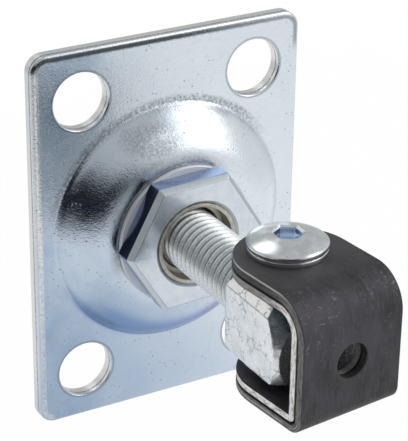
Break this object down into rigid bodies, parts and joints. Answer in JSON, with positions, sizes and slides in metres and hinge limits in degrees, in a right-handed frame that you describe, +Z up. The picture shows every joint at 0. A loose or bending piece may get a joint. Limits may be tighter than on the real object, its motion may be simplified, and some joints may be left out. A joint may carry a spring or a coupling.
{
  "type": "adjustable gate hinge",
  "caption": "Adjustable gate hinge with a domed wall plate, a captive adjusting nut, a threaded eye bolt and a pivoting strap bracket.",
  "frame": {"origin": "middle of the wall plate's back face, on the stud's axis", "axes": "+Y into the wall or post, so the stud points along -Y; +Z up along the wall plate's long side and parallel to the pivot pin; +X to the right seen from the front"},
  "size_m": [0.085, 0.0987, 0.115],
  "materials": {
    "zinc_plate": "bright zinc plated sheet",
    "zinc_nut": "bright zinc plated, machined",
    "sleeve_steel": "turned",
    "eye_steel": "forged, zinc plated",
    "scale_steel": "dark mill scale",
    "pin_steel": "polished, zinc plated"
  },
  "bodies": {
    "wall_plate": {"back_plate": "zinc_plate", "front_washer": "zinc_nut", "rear_washer": "zinc_nut"},
    "adjusting_nut": {"adjusting_collar": "zinc_nut", "adjusting_sleeve": "sleeve_steel"},
    "eye": {"eye_bolt": "eye_steel", "thrust_washer": "pin_steel"},
    "bracket": {"inner_bracket": "scale_steel", "outer_bracket": "scale_steel", "head_washer": "pin_steel", "pivot_pin": "pin_steel", "lock_nut": "pin_steel"}
  },
  "joints": [
    {"name": "stud_slide", "type": "slide", "parent": "wall_plate", "child": "eye", "axis": [0, 1, 0], "range_m": [-0.008, 0.025]},
    {"name": "nut_spin", "type": "hinge", "parent": "wall_plate", "child": "adjusting_nut", "pos_m": [0, 0, 0], "axis": [0, -1, 0], "range_deg": [-1153, 3601]},
    {"name": "bracket_swing", "type": "hinge", "parent": "eye", "child": "bracket", "pos_m": [0, -0.069, 0], "axis": [0, 0, 1], "range_deg": [-96.5, 83.5]}
  ],
  "couplings": [
    {"joint": "nut_spin", "follows": "stud_slide", "rad_per_m": 2513.3}
  ]
}
